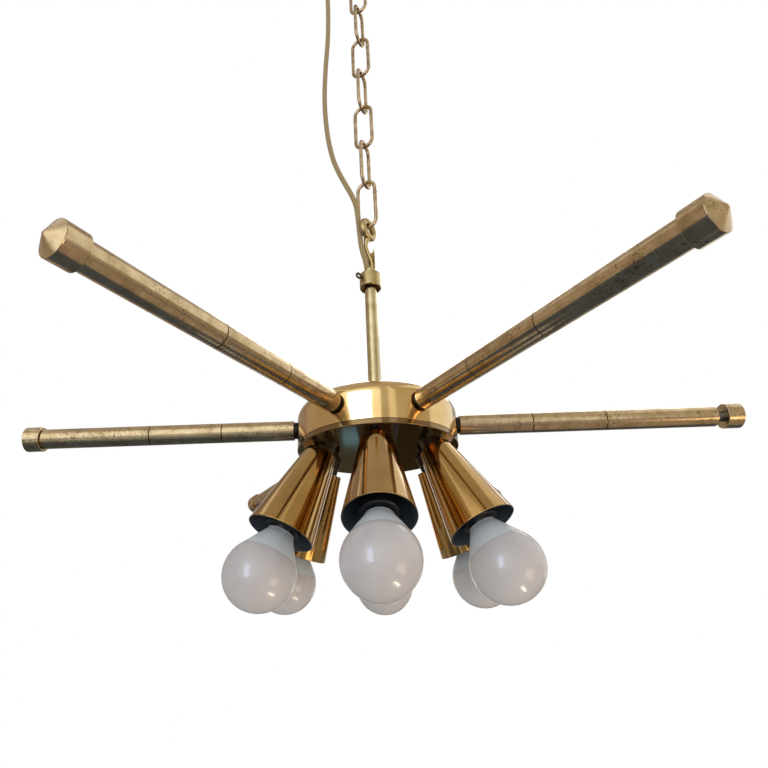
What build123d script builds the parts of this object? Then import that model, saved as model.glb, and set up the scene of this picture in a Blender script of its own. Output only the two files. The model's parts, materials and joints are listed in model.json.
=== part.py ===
from build123d import *
import os
from math import atan, radians, sqrt, tan

# Sputnik chandelier: a shallow brass drum on a stem and chain, with six level arms round its side and,
# between them, six cone shades that lean out from its underside, each with a golf-ball lamp.
# Millimetres, +Z up. The origin is the middle of the ceiling face, so everything hangs below z = 0.

# ---- clearances and counts ----
arm_count = 6
slip = 0.1                  # radial clearance of a part that slides or turns on another
seat = 0.1                  # gap left between parts that butt together
cord_slip = 0.2             # radial clearance of the cord in its grip

# ---- ceiling set ----
bracket_length = 88.0
bracket_width = 16.0
bracket_sheet = 2.0
bracket_drop = 12.0         # how far the bracket's middle stands below the ceiling
bracket_middle = 40.0       # length of the bracket's lowered middle
bracket_slope = 6.0         # length of each sloping part
screw_spacing = 66.0        # ceiling screw holes, centre to centre
screw_hole_r = 2.3
canopy_r = 54.0
canopy_depth = 27.0
canopy_wall = 1.0
canopy_shoulder = 16.0
nipple_top = 5.0            # top of the bracket's nipple, below the ceiling
grip_x = -30.0              # the cord grip stands this far from the canopy's middle
grip_r = 6.0
grip_flange_r = 8.0
grip_flange = 2.5
grip_length = 12.0

# ---- threaded tube and its nuts ----
thread_r = 5.0
thread_bore_r = 4.2
nut_flats = 14.0
nut_height = 3.0

# ---- loops and chain ----
chain_links = 8
link_wire_r = 1.7
link_length = 53.0          # outside
link_width = 20.0           # outside
link_turn = -25.0           # direction of the lowest link's flat side, seen from above
link_touch = 0.12           # gap between wires that hang in each other
weld_r = 2.05
weld_length = 1.4
weld_height = 11.0          # of the weld above the middle of its link
eye_wire_r = 3.0
eye_mean_r = 7.6
eye_turn = 55.0             # direction of the hanger's eye, seen from above
eye_above_stem = 21.5       # middle of the eye above the stem's end
eye_root_r = 3.0            # the shank swells into the eye
eye_root = 7.0
ceiling_eye_wire_r = 2.4
ceiling_eye_mean_r = 9.0
ceiling_boss_r = 8.0
ceiling_boss = 10.0
ceiling_boss_bore = 7.0
shank_r = 1.7
shank_x = 2.35              # the shank stands beside the cord inside the stem
shank_lean_x = -2.4         # and leans over to the other side above it
shank_lean_start = 0.43     # as a share of its height
shank_lean_end = 0.75
shank_bend = 0.45           # roundness of its two bends, as a share of the room there
plug_foot = 126.0           # the shank ends in a plug in the stem
plug = 8.0

# ---- stem and its clamp collar ----
stem_top = 163.5            # above the arms
stem_cut = 21.5             # the tube's end is cut away this far down, on the cord's side
stem_cut_turn = 232.0       # direction of the cut-away side
stem_cut_side = -1.5        # the cut goes this far past the middle, towards the kept side
stem_edge = [               # edge of the tongue that is left: across it, and below the stem's top
    (-5.2, 11.5), (-4.4, 6.0), (-3.2, 3.6), (-1.6, 2.6), (0.2, 2.8), (1.0, 5.2), (1.8, 4.2), (3.9, 0.0), (5.2, 1.2),
]
collar_r = 8.9
collar_height = 13.5
collar_foot = 124.5         # above the arms
collar_cup_r = 7.5
collar_cup = 6.0            # depth of the hollow in the collar's lower end
collar_bevel = 0.5
screw_turn = 216.0
screw_r = 1.5
screw_height = 8.8          # above the collar's foot
screw_neck = 0.8            # length of screw between collar and ring
screw_ring_mean_r = 2.1
screw_ring_wire_r = 0.9

# ---- hub ----
hub_r = 60.0
hub_foot = -19.0            # underside of the lid, from the arms' axes
hub_wall_top = 4.9          # where the wall turns into the shoulder
hub_shoulder = 10.6
hub_wall = 1.8
lid_sheet = 1.5
lid_skirt = 3.8
lid_wall = 0.8
lid_bevel = 0.5
stem_nut_flats = 17.0
stem_nut = 4.0
cap_nut_r = 8.5
cap_nut = 7.0
cap_nut_bore = 4.5

# ---- arms ----
rod_r = 4.0
rod_inner = 48.0            # the rod's inner end, from the stem's axis
sleeve_r = 7.5
sleeve_bore_r = 6.0
inner_sleeve = 54.6
middle_sleeve = 54.9
outer_sleeve = 82.9
sleeve_bevel = 0.35         # makes the fine dark seams between sleeves
bush_flange_r = 6.3
bush_flange = 2.4
bush_spigot = 8.0
seam_bush = 12.0
arm_nut_flats = 13.0
arm_nut = 6.0
cap_r = 9.35
cap_length = 12.3
cap_cone = 4.2
cap_tip_r = 0.8
cap_bevel = 0.4
cap_grip = 9.0              # length of rod inside a seated cap
cap_bore_spare = 1.0
loose_cap = 5.8             # the right arm's cap stands out this far, as photographed

# ---- sockets, shades and lamps, along each socket's own axis from the lid's underside ----
socket_radius = 42.6        # where the axis meets the lid's underside
socket_tilt = 26.8          # degrees off vertical
socket_turn = -2.0          # the lid sits turned this much against the arms
wedge_r = 7.4
inner_wedge = 6.4           # the inner wedge's flat end, measured inwards
nipple_spare = 1.2          # thread past the nut
shade_top = 8.7
shade_top_r = 11.4
shade_mouth = 74.0
shade_mouth_r = 23.1
shade_sheet = 0.8
shade_top_sheet = 1.2
holder_neck_r = 9.0
holder_neck = 16.0
holder_flare = 9.0
holder_r = 12.4
holder_mouth = 71.5
holder_bevel = 0.8
holder_thread = 6.5         # depth of the nipple's seat in the holder
lamp_ball_r = 23.4
lamp_ball = 104.0           # middle of the ball
lamp_shorter = 5.0          # the lamps at the back are this much shorter
long_lamps = (3, 4, 5)      # the sockets at the front
lamp_seam_r = 19.2          # where the housing ends and the opal ball starts
lamp_neck_r = 9.1
lamp_neck = 1.2
lamp_neck_foot = 73.0
lamp_neck_round = 2.0       # roundness of its foot, times the neck's length
lamp_cap_r = 6.9
lamp_cap = 20.0
lamp_cap_taper = 3.5
lamp_contact_r = 2.4
lamp_contact = 1.6

# ---- cord ----
cord_r = 2.3
cord_x = -1.8               # inside the stem
cord_foot = 130.0           # its lower end above the arms
cord_bend = 147.0           # where it starts to lean out of the stem
cord_inlet = 3.0            # its upper end stands this far above the grip
cord_drop = 30.0            # straight stretch below the grip
cord_points = [             # x, y, height above the arms
    (-6.4, -2.0, 164.0),
    (-7.3, -0.4, 180.0),
    (-8.4, -1.8, 197.7),
    (-9.3, -2.6, 208.4),
    (-12.6, -3.2, 219.7),
    (-17.9, -4.0, 231.1),
    (-23.2, -4.0, 243.5),
    (-28.3, -3.5, 258.8),
    (-31.7, -3.0, 275.0),
    (-34.8, -2.0, 299.0),
    (-37.0, 1.0, 340.0),
    (-35.5, 2.5, 386.0),
    (-32.0, 0.5, 430.0),
    (-31.5, -1.5, 474.0),
    (-33.0, -0.5, 517.0),
]

# ---- worked out from the sizes above ----
arm_step = 360 / arm_count
bracket_face = -bracket_drop + bracket_sheet
canopy_foot = -canopy_depth
boss_foot = canopy_foot - seat - ceiling_boss
ceiling_eye = boss_foot - ceiling_eye_mean_r
link_reach = link_length - 2 * link_wire_r              # between the centres of a link's end wires
link_bend_r = link_width / 2 - link_wire_r
link_pitch = link_reach - 2 * link_wire_r - link_touch
top_wire = ceiling_eye - ceiling_eye_mean_r + ceiling_eye_wire_r + link_wire_r + link_touch
eye_top_wire = top_wire - (chain_links - 1) * link_pitch - link_reach + link_wire_r + eye_wire_r + link_touch
eye_height = stem_top + eye_above_stem
arm_plane = eye_top_wire - eye_mean_r - eye_height
lid_face = hub_foot + lid_sheet
skirt_top = hub_foot + lid_skirt
hub_top = hub_wall_top + hub_shoulder
sleeve_start = hub_r + bush_flange + 2 * seat
seam_1 = sleeve_start + inner_sleeve
seam_2 = seam_1 + middle_sleeve
sleeve_end = seam_2 + outer_sleeve
lamp_seam = lamp_ball - sqrt(lamp_ball_r**2 - lamp_seam_r**2)     # of the long lamps
lamp_foot = lamp_neck_foot - lamp_cap - lamp_contact
holder_foot = shade_top + shade_top_sheet + seat
upward = (Align.CENTER, Align.CENTER, Align.MIN)
hub = Pos(0, 0, arm_plane)


# ---- helpers ----
def turned(outline, rounds=()):
    """Solid turned about X from an outline of (distance along X, radius) points."""
    face = make_face(Polyline(*outline, close=True))
    for spot, radius in rounds:
        face = fillet(face.vertices().sort_by_distance((*spot, 0))[0], radius)
    return revolve(face, Axis.X)


def tube(outer, inner, start, end, bevel=0.0):
    """Tube along X, with its outer edges bevelled if asked."""
    if not bevel:
        return turned([(start, inner), (start, outer), (end, outer), (end, inner)])
    return turned([(start, inner), (start, outer - bevel), (start + bevel, outer),
                   (end - bevel, outer), (end, outer - bevel), (end, inner)])


def post(radius, foot, height):
    """Upright cylinder."""
    return Pos(0, 0, foot) * Cylinder(radius, height, align=upward)


def drum(radius, foot, top, shoulder):
    """Upright cylinder with its upper edge rounded."""
    body = post(radius, foot, top - foot)
    return fillet(body.edges().sort_by(Axis.Z)[-1], shoulder)


def nut(flats, height, bore):
    """Six-sided nut standing on z = 0."""
    blank = extrude(RegularPolygon(flats / 2, 6, major_radius=False), height)
    return blank - Cylinder(bore, height, align=upward)


def ring(mean_r, wire_r):
    """Round wire ring standing in the XZ plane."""
    return Rot(90, 0, 0) * Torus(mean_r, wire_r)


def at_arm(k):
    """Frame of arm k: X runs out along the arm from the stem's axis."""
    return hub * Rot(0, 0, arm_step * k)


def at_socket(k):
    """Frame of socket k: X runs out along the lamp from the lid's underside."""
    turn = arm_step * (k + 0.5) + socket_turn
    return hub * Rot(0, 0, turn) * Pos(socket_radius, 0, hub_foot) * Rot(0, 90 - socket_tilt, 0)


def save(node, *solids):
    """Write one node from its solids."""
    found = [s for shape in solids for s in shape.solids()]
    export_step(found[0] if len(found) == 1 else Compound(found), f"parts/{node}.step")


# ---- ceiling set ----
def ceiling_bracket():
    half, inner, outer = bracket_length / 2, bracket_middle / 2, bracket_middle / 2 + bracket_slope
    top = [(-half, 0), (-outer, 0), (-inner, bracket_face), (inner, bracket_face), (outer, 0), (half, 0)]
    below = [(x, z - bracket_sheet) for x, z in reversed(top)]
    strip = extrude(Plane.XZ * make_face(Polyline(*top, *below, close=True)), bracket_width / 2, both=True)
    for x in (-screw_spacing / 2, screw_spacing / 2):
        strip -= Pos(x, 0, -bracket_sheet / 2) * Cylinder(screw_hole_r, 2 * bracket_sheet)
    return strip - post(thread_r + slip, -bracket_drop - 1, bracket_sheet + 2)


def ceiling_canopy():
    shape = Rot(180, 0, 0) * (drum(canopy_r, 0, canopy_depth, canopy_shoulder)
                              - drum(canopy_r - canopy_wall, -1, canopy_depth - canopy_wall,
                                     canopy_shoulder - canopy_wall))
    shape -= post(thread_r + slip, canopy_foot - 1, canopy_wall + 2)
    return shape - Pos(grip_x, 0, 0) * post(grip_r + slip, canopy_foot - 1, canopy_wall + 2)


def bracket_nipple():
    foot = boss_foot + ceiling_boss - ceiling_boss_bore + seat
    return post(thread_r, foot, -nipple_top - foot) - post(thread_bore_r, foot, -nipple_top - foot)


def bracket_nuts():
    upper = Pos(0, 0, bracket_face + seat) * nut(nut_flats, nut_height, thread_r + slip)
    lower = Pos(0, 0, -bracket_drop - seat - nut_height) * nut(nut_flats, nut_height, thread_r + slip)
    return upper, lower


def ceiling_loop():
    boss = post(ceiling_boss_r, boss_foot, ceiling_boss)
    boss = chamfer(boss.edges().sort_by(Axis.Z)[0], ceiling_boss_r - 1.5 * ceiling_eye_wire_r, ceiling_boss / 3)
    eye = Pos(0, 0, ceiling_eye) * Rot(0, 0, link_turn + 90 * (chain_links - 2)) * ring(
        ceiling_eye_mean_r, ceiling_eye_wire_r)
    return boss + eye - post(thread_r + slip, boss_foot + ceiling_boss - ceiling_boss_bore, ceiling_boss)


def cord_grip():
    body = post(grip_flange_r, canopy_foot - seat - grip_flange, grip_flange)
    body = fillet(body.edges().sort_by(Axis.Z)[0], grip_flange / 2)
    body += post(grip_r, canopy_foot - seat, grip_length + seat)
    return Pos(grip_x, 0, 0) * (body - post(cord_r + cord_slip, canopy_foot - 2 * grip_flange, 2 * grip_length))


# ---- chain, hanger and stem ----
def chain_link():
    """Oval link of round wire in the XZ plane, about its own middle, with the bead of its weld."""
    straight = link_reach - 2 * link_bend_r
    bend = split(ring(link_bend_r, link_wire_r), Plane.XY, keep=Keep.TOP)
    link = Pos(0, 0, straight / 2) * bend + Pos(0, 0, -straight / 2) * Rot(180, 0, 0) * bend
    for x in (-link_bend_r, link_bend_r):
        link += Pos(x, 0, 0) * Cylinder(link_wire_r, straight)
    return link + Pos(link_bend_r, 0, weld_height) * Cylinder(weld_r, weld_length)


def chain(first):
    """Every second link, counted up from the hanger."""
    for n in range(first, chain_links, 2):
        middle = top_wire - (chain_links - 1 - n) * link_pitch - link_reach / 2
        yield Pos(0, 0, middle) * Rot(0, 0, link_turn + 90 * n) * chain_link()


def hanger_loop():
    """Cast eye on a shank that leans past the cord and ends in a plug inside the stem."""
    foot, top = plug_foot + plug / 2, eye_height - eye_mean_r
    rise = top - foot
    eye = Pos(0, 0, eye_height) * Rot(0, 0, eye_turn) * ring(eye_mean_r, eye_wire_r)
    low, high = foot + shank_lean_start * rise, foot + shank_lean_end * rise
    lean = abs(shank_x - shank_lean_x)
    room = min(low - foot, top - high, (high - low) / 2)
    path = FilletPolyline((shank_lean_x, 0, top), (shank_lean_x, 0, high), (shank_x, 0, low), (shank_x, 0, foot),
                          radius=shank_bend * room / tan(atan(lean / (high - low)) / 2))
    shank = sweep(Plane(path @ 0, z_dir=path % 0) * Circle(shank_r), path=path)
    root = Pos(0, 0, top - eye_root) * loft(
        [Pos(shank_lean_x, 0, 0) * Circle(shank_r), Pos(0, 0, eye_root) * Circle(eye_root_r)])
    plug_solid = post(thread_bore_r - slip, plug_foot, plug)
    plug_solid -= Pos(cord_x, 0, 0) * post(cord_r + cord_slip, plug_foot - 1, plug + 2)
    return hub * (eye + shank + root + plug_solid)


def stem_tube():
    """Threaded tube whose upper end is cut open for the cord, which leaves a ragged tongue."""
    foot = hub_foot - cap_nut_bore + seat
    shape = post(thread_r, foot, stem_top - foot) - post(thread_bore_r, foot - 1, stem_top - foot + 2)
    block = Pos(stem_cut_side, 0, stem_top - stem_cut) * Box(
        4 * thread_r, 4 * thread_r, 2 * stem_cut, align=(Align.MIN, Align.CENTER, Align.MIN))
    shape -= Rot(0, 0, stem_cut_turn) * block
    edge = [(across, stem_top - down) for across, down in stem_edge]
    above = [(edge[-1][0], stem_top + 2), (edge[0][0], stem_top + 2)]
    waste = extrude(Plane.XZ * make_face(Polyline(*edge, *above, close=True)), 4 * thread_r)
    return hub * (shape - Rot(0, 0, stem_cut_turn + 90) * waste)


def hanger_collar():
    shape = post(collar_r, collar_foot, collar_height)
    shape = chamfer(shape.edges().filter_by(GeomType.CIRCLE), collar_bevel)
    shape -= post(thread_r + slip, collar_foot - 1, collar_height + 2)
    shape -= post(collar_cup_r, collar_foot - 1, collar_cup + 1)
    drill = Pos(0, 0, collar_foot + screw_height) * Rot(0, 90, 0) * Cylinder(
        screw_r + slip, 2 * collar_r, align=upward)
    return hub * (shape - Rot(0, 0, screw_turn) * drill)


def collar_screw():
    """Grub screw with a ring for a head, which clamps the collar on the stem."""
    reach = collar_r + screw_neck
    shaft = turned([(thread_r + seat, 0), (thread_r + seat, screw_r), (reach, screw_r), (reach, 0)])
    head = Pos(reach + screw_ring_mean_r, 0, 0) * ring(screw_ring_mean_r, screw_ring_wire_r)
    return hub * Rot(0, 0, screw_turn) * Pos(0, 0, collar_foot + screw_height) * (shaft + head)


def stem_locknuts():
    upper = Pos(0, 0, hub_top + seat) * nut(stem_nut_flats, stem_nut, thread_r + slip)
    lower = Pos(0, 0, hub_top - hub_wall - seat - stem_nut) * nut(stem_nut_flats, stem_nut, thread_r + slip)
    return hub * upper, hub * lower


def plate_cap_nut():
    shape = post(cap_nut_r, hub_foot - seat - cap_nut, cap_nut)
    shape = fillet(shape.edges().sort_by(Axis.Z)[0], cap_nut / 2)
    return hub * (shape - post(thread_r + slip, hub_foot - seat - cap_nut_bore, cap_nut_bore + 1))


# ---- hub ----
def hub_cup():
    """Spun cup, whose lower edge steps in to enter the lid's skirt."""
    shape = drum(hub_r, skirt_top + seat, hub_top, hub_shoulder)
    shape += post(hub_r - lid_wall - slip, lid_face + seat, lid_skirt)
    shape -= drum(hub_r - hub_wall, lid_face, hub_top - hub_wall, hub_shoulder - hub_wall)
    shape -= post(thread_r + slip, hub_top - 2 * hub_wall, 3 * hub_wall)
    for k in range(arm_count):
        shape -= Rot(0, 0, arm_step * k) * tube(rod_r + slip, 0, hub_r - 2 * hub_wall, hub_r + 1)
    return hub * shape


def hub_lid():
    shape = post(hub_r, hub_foot, lid_skirt)
    shape = chamfer(shape.edges().sort_by(Axis.Z)[0], lid_bevel)
    shape = hub * (shape - post(hub_r - lid_wall, lid_face, lid_skirt) - post(thread_r + slip, hub_foot - 1, 9))
    for k in range(arm_count):
        shape -= at_socket(k) * tube(thread_r + slip, 0, -3 * lid_sheet, 3 * lid_sheet)
    return shape


# ---- arms ----
def arm_rod():
    return turned([(rod_inner, 0), (rod_inner, rod_r), (sleeve_end + cap_grip, rod_r), (sleeve_end + cap_grip, 0)])


def arm_sleeves():
    ends = [(sleeve_start, seam_1 - seat), (seam_1, seam_2 - seat), (seam_2, sleeve_end)]
    return [tube(sleeve_r, sleeve_bore_r, a, b, sleeve_bevel) for a, b in ends]


def end_bushes():
    """The flanged bush beside the hub and the plain one inside the arm's outer end."""
    fit, bore = sleeve_bore_r - slip, rod_r + slip
    flange = hub_r + seat
    inner = turned([(flange, bore), (flange, bush_flange_r), (flange + bush_flange, bush_flange_r),
                    (flange + bush_flange, fit), (sleeve_start + bush_spigot, fit),
                    (sleeve_start + bush_spigot, bore)])
    return inner, tube(fit, bore, sleeve_end - bush_spigot, sleeve_end - seat)


def seam_bushes():
    fit, bore = sleeve_bore_r - slip, rod_r + slip
    return [tube(fit, bore, seam - seam_bush / 2, seam + seam_bush / 2) for seam in (seam_1, seam_2)]


def arm_locknut():
    """Nut on the rod inside the cup; its corners stay off the curved wall."""
    face = sqrt((hub_r - hub_wall)**2 - (arm_nut_flats / sqrt(3))**2) - seat
    return Pos(face - arm_nut, 0, 0) * Rot(0, 90, 0) * nut(arm_nut_flats, arm_nut, rod_r + slip)


def arm_cap(out):
    """End cap with a shallow cone, standing out from the sleeve by the given length."""
    face, rim = sleeve_end + seat, sleeve_end + cap_length
    depth = sleeve_end + cap_grip + cap_bore_spare
    bore = rod_r + slip
    return Pos(out, 0, 0) * turned([
        (face, bore), (face, cap_r - cap_bevel), (face + cap_bevel, cap_r), (rim - cap_bevel, cap_r),
        (rim, cap_r - cap_bevel), (rim + cap_cone, cap_tip_r), (rim + cap_cone, 0), (depth, 0), (depth, bore)])


# ---- sockets, shades and lamps ----
def socket_wedges(k):
    """Two washers cut to the socket's slant, one each side of the lid."""
    outer = at_socket(k) * tube(wedge_r, thread_r + slip, -shade_top, shade_top - seat)
    inner = at_socket(k) * tube(wedge_r, thread_r + slip, -inner_wedge, inner_wedge)
    slab = (4 * hub_r, 4 * hub_r, 4 * shade_top)
    above = hub * Pos(0, 0, hub_foot - seat) * Box(*slab, align=upward)
    below = hub * Pos(0, 0, lid_face + seat) * Rot(180, 0, 0) * Box(*slab, align=upward)
    return outer - above, inner - below


def socket_nipple():
    start = -inner_wedge - seat - nut_height - nipple_spare
    return tube(thread_r, thread_bore_r, start, holder_foot + holder_thread - seat)


def socket_locknut():
    return Pos(-inner_wedge - seat - nut_height, 0, 0) * Rot(0, 90, 0) * nut(
        nut_flats, nut_height, thread_r + slip)


def shade():
    """Spun cone with a flat top, of one sheet."""
    slope = (shade_mouth_r - shade_top_r) / (shade_mouth - shade_top)
    across = shade_sheet * sqrt(1 + slope**2)
    floor = shade_top + shade_top_sheet
    hole = thread_r + slip
    return turned([(shade_top, hole), (shade_top, shade_top_r), (shade_mouth, shade_mouth_r),
                   (shade_mouth, shade_mouth_r - across),
                   (floor, shade_top_r + slope * shade_top_sheet - across), (floor, hole)])


def lamp_holder():
    bore, seat_r, end = lamp_cap_r + slip, thread_r + slip, holder_foot + holder_neck + holder_flare
    return turned([(holder_foot, seat_r), (holder_foot, holder_neck_r), (holder_foot + holder_neck, holder_neck_r),
                   (end, holder_r), (holder_mouth - holder_bevel, holder_r),
                   (holder_mouth, holder_r - holder_bevel), (holder_mouth, bore), (lamp_foot - seat, bore),
                   (lamp_foot - seat, 0), (holder_foot + holder_thread, 0), (holder_foot + holder_thread, seat_r)])


def lamp_base(short):
    """Screw cap with its contact, and the white housing that flares out to the ball."""
    cap = lamp_foot + lamp_contact
    neck = lamp_neck_foot + lamp_neck
    seam = lamp_seam - short
    return turned([(lamp_foot, 0), (lamp_foot, lamp_contact_r), (cap, lamp_contact_r),
                   (cap + lamp_cap_taper, lamp_cap_r), (lamp_neck_foot, lamp_cap_r), (lamp_neck_foot, lamp_neck_r),
                   (neck, lamp_neck_r), (seam, lamp_seam_r), (seam, 0)],
                  [((neck, lamp_neck_r), lamp_neck_round * lamp_neck)])


def lamp_globe(short):
    ball = Pos(lamp_ball - short, 0, 0) * Sphere(lamp_ball_r)
    return split(ball, Plane.YZ.offset(lamp_seam - short), keep=Keep.TOP)


# ---- cord ----
def cord():
    """Textile cord from the grip in the canopy, slack beside the chain, into the open side of the stem."""
    foot = [(cord_x, 0, cord_foot), (cord_x, 0, cord_bend)]
    points = [Vector(x, y, z + arm_plane) for x, y, z in foot + cord_points]
    points += [Vector(grip_x, 0, canopy_foot - grip_flange - cord_drop),
               Vector(grip_x, 0, canopy_foot + grip_length + cord_inlet)]
    radii = []
    for before, here, after in zip(points, points[1:], points[2:]):
        run = min((here - before).length, (after - here).length)
        half_turn = radians((here - before).get_angle(after - here)) / 2
        radii.append(0.45 * run / tan(half_turn))
    path = FilletPolyline(*points, radius=radii)
    shape = sweep(Plane(path @ 0, z_dir=path % 0) * Circle(cord_r), path=path)
    print("cord radii", [round(r, 1) for r in radii], "length", round(path.length, 1))
    print("cord volume / (section x length)", round(shape.volume / (3.141593 * cord_r**2 * path.length), 5))
    return shape


# ---- write every node ----
os.makedirs("parts", exist_ok=True)
arms = range(arm_count)
save("ceiling_bracket", ceiling_bracket())
save("ceiling_canopy", ceiling_canopy())
save("bracket_nipple", bracket_nipple())
save("bracket_nuts", *bracket_nuts())
save("ceiling_loop", ceiling_loop())
save("cord_grip", cord_grip())
save("chain_links_odd", *chain(0))
save("chain_links_even", *chain(1))
save("hanger_loop", hanger_loop())
save("hanger_collar", hanger_collar())
save("collar_screw", collar_screw())
save("stem_tube", stem_tube())
save("stem_locknuts", *stem_locknuts())
save("plate_cap_nut", plate_cap_nut())
save("hub_cup", hub_cup())
save("hub_lid", hub_lid())
save("arm_rods", *[at_arm(k) * arm_rod() for k in arms])
save("arm_end_bushes", *[at_arm(k) * bush for k in arms for bush in end_bushes()])
save("arm_seam_bushes", *[at_arm(k) * bush for k in arms for bush in seam_bushes()])
save("arm_locknuts", *[at_arm(k) * arm_locknut() for k in arms])
save("socket_nipples", *[at_socket(k) * socket_nipple() for k in arms])
save("socket_locknuts", *[at_socket(k) * socket_locknut() for k in arms])
save("socket_wedges", *[wedge for k in arms for wedge in socket_wedges(k)])
for k in arms:
    save(f"arm_sleeves_{k + 1}", *[at_arm(k) * sleeve for sleeve in arm_sleeves()])
    save(f"arm_cap_{k + 1}", at_arm(k) * arm_cap(0 if k else loose_cap))
    save(f"shade_{k + 1}", at_socket(k) * shade())
    save(f"lamp_holder_{k + 1}", at_socket(k) * lamp_holder())
    shorter = 0 if k in long_lamps else lamp_shorter
    save(f"lamp_base_{k + 1}", at_socket(k) * lamp_base(shorter))
    save(f"lamp_globe_{k + 1}", at_socket(k) * lamp_globe(shorter))
save("cord", cord())
print("arm plane", round(arm_plane, 2), "sleeve end", round(sleeve_end, 2), "nodes", len(os.listdir("parts")))
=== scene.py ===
# %% [markdown]
# # A sputnik chandelier in brass
# The real light is a small catalogue of turned and spun brass: a shallow drum, six rods dressed in brass
# sleeves, six cones with lamps in them, and a stem that hangs on a chain. Nearly every piece is round about
# its own axis, so one lathe helper makes most of them, and Geometry Nodes copy what repeats round the drum.
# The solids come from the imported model, and the pieces here give them finer skins and their finishes.

# %% Load the frame
import json
import math

import bpy
from mathutils import Matrix, Vector

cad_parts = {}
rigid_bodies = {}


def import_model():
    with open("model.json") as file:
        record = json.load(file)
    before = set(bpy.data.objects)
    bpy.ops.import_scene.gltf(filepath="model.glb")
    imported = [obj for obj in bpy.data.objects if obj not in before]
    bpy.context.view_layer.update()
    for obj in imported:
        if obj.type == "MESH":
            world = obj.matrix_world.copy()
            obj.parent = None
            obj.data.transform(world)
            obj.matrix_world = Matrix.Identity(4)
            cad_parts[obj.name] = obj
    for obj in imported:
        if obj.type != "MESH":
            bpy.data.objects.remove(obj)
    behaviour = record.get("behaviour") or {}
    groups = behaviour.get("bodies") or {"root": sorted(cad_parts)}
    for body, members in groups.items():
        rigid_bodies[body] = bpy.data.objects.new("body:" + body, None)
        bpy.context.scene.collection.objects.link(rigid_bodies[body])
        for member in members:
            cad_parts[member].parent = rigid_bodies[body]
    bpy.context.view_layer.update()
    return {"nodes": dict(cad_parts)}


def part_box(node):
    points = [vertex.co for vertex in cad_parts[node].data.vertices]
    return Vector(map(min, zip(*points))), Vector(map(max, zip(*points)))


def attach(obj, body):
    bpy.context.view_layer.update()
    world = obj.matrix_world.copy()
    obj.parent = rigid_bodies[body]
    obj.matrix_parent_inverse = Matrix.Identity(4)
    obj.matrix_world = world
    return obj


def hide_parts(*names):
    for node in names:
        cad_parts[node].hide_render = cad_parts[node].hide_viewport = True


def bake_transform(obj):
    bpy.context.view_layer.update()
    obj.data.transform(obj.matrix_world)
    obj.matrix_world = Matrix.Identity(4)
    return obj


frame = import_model()
nodes = frame["nodes"]

# %% [markdown]
# Sizes are written in millimetres, as a maker would measure them, and angles in degrees. The arms' axes lie
# in one level plane, whose height is read from the left arm's end cap. `arm_place` and `socket_place` turn a
# piece that was made along X into its place on the light.

# %% Places of the arms and sockets
low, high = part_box("arm_cap_4")
arm_plane = (low.z + high.z) / 2 * 1000
arm_count = 6
socket_radius, socket_drop = 42.6, -19.0     # where a lamp's axis meets the underside of the lid
socket_tilt, lid_turn = 26.8, -2.0           # how far a lamp leans out, and how the lid sits on the cup


def moved(x=0.0, y=0.0, z=0.0):
    """Shift by millimetres."""
    return Matrix.Translation((x / 1000, y / 1000, z / 1000))


def turned(degrees, axis="Z"):
    """Turn about a main axis."""
    return Matrix.Rotation(math.radians(degrees), 4, axis)


def arm_place(k):
    """X runs out along arm k."""
    return moved(z=arm_plane) @ turned(60 * k)


def socket_place(k):
    """X runs out along lamp k, from the underside of the lid."""
    spin = turned(60 * (k + 0.5) + lid_turn)
    return moved(z=arm_plane) @ spin @ moved(socket_radius, 0, socket_drop) @ turned(90 - socket_tilt, "Y")


upright = turned(-90, "Y")          # X becomes up
print("arms lie", round(arm_plane, 1), "mm below the ceiling")

# %% [markdown]
# ## The camera
# The photograph looks up at the light from below and in front of it, quite close, so the near arms spread
# and the lamps hang towards us. It is also a crop, so the lens axis doesn't run through the middle of the
# picture: a small shift of the lens gives the same perspective.

# %% Camera at the photograph's view
picture = 768                                  # pixels across
focal_px, axis_px = 598.45, (354.0, 420.0)     # the lens, and the pixel that its axis runs through
yaw, pitch, roll = (math.radians(a) for a in (-0.78, 21.41, -1.68))
eye = Vector((-11.32, -426.8, arm_plane - 160.1)) / 1000
forward = Vector((math.sin(yaw) * math.cos(pitch), math.cos(yaw) * math.cos(pitch), math.sin(pitch)))
level = Vector((math.cos(yaw), -math.sin(yaw), 0))
above = level.cross(forward)
right = math.cos(roll) * level + math.sin(roll) * above
up = -math.sin(roll) * level + math.cos(roll) * above
camera_data = bpy.data.cameras.new("camera")
camera_data.lens = focal_px / picture * camera_data.sensor_width
camera_data.shift_x = (picture / 2 - axis_px[0]) / picture
camera_data.shift_y = (axis_px[1] - picture / 2) / picture
camera_data.clip_start = 0.01
camera = bpy.data.objects.new("camera", camera_data)
camera.matrix_world = Matrix.Translation(eye) @ Matrix((right, up, -forward)).transposed().to_4x4()
bpy.context.scene.collection.objects.link(camera)
bpy.context.scene.camera = camera
print("lens", round(camera_data.lens, 2), "mm")

# %% [markdown]
# ## Nodes, colours and finishes
# A finish is a small tree of nodes. `add` puts in one node with its settings and links, and `finish` starts
# a material with the usual surface shader and the piece's own coordinates. Colours are written as hex, as
# they look on a screen, and turned into the linear values that the renderer counts in. A noise's scale is
# counted per metre, so 1000 divided by it is the size of its grains in millimetres.

# %% Node and colour helpers
def colour(code):
    """sRGB hex to linear RGBA."""
    parts = [int(code[i:i + 2], 16) / 255 for i in (1, 3, 5)]
    return [v / 12.92 if v <= 0.04045 else ((v + 0.055) / 1.055) ** 2.4 for v in parts] + [1.0]


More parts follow.
